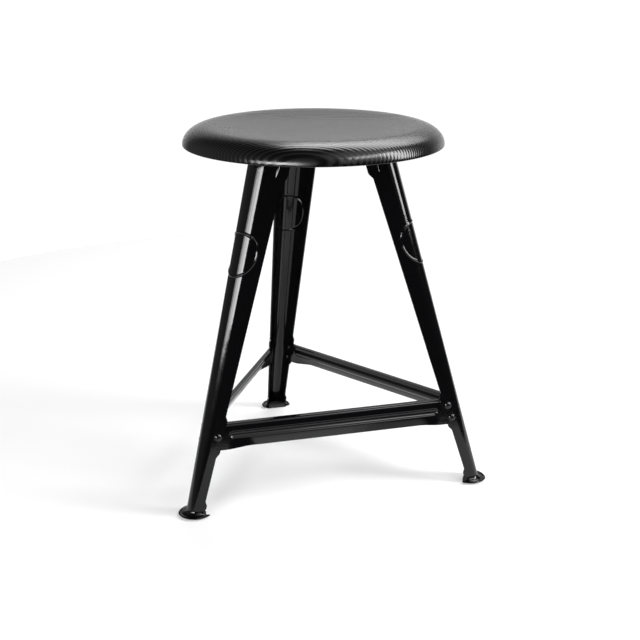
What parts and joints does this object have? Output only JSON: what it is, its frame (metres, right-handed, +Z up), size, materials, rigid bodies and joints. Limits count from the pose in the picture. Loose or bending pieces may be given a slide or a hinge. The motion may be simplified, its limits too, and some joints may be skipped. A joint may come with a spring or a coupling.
{
  "type": "three-legged machinist stool",
  "caption": "Low workshop stool: a round dished wooden seat on splayed legs of pressed sheet steel, tied by swaged and riveted stretchers.",
  "frame": {"origin": "centre of the stool's outline, on the floor that the pads stand on", "axes": "+Z up through the seat, +Y from the front stretcher towards the back leg, +X to the right seen from the front"},
  "size_m": [0.4434, 0.43, 0.5],
  "materials": {
    "stained_wood": "black stain under satin lacquer, grain open",
    "enamelled_steel": "gloss black enamel",
    "pad_rubber": "matte",
    "zinc_screw": "dull zinc plate"
  },
  "bodies": {
    "root": {"seat": "stained_wood", "seat_carrier": "enamelled_steel", "seat_screws": "zinc_screw", "leg_right": "enamelled_steel", "leg_back": "enamelled_steel", "leg_left": "enamelled_steel", "foot_pad_right": "pad_rubber", "foot_pad_back": "pad_rubber", "foot_pad_left": "pad_rubber", "stretcher_front": "enamelled_steel", "stretcher_right": "enamelled_steel", "stretcher_left": "enamelled_steel", "rivets_front_at_left": "enamelled_steel", "rivets_front_at_right": "enamelled_steel", "rivets_right_at_right": "enamelled_steel", "rivets_right_at_back": "enamelled_steel", "rivets_left_at_back": "enamelled_steel", "rivets_left_at_left": "enamelled_steel", "rivets_carrier_at_right": "enamelled_steel", "rivets_carrier_at_back": "enamelled_steel", "rivets_carrier_at_left": "enamelled_steel"}
  },
  "joints": []
}
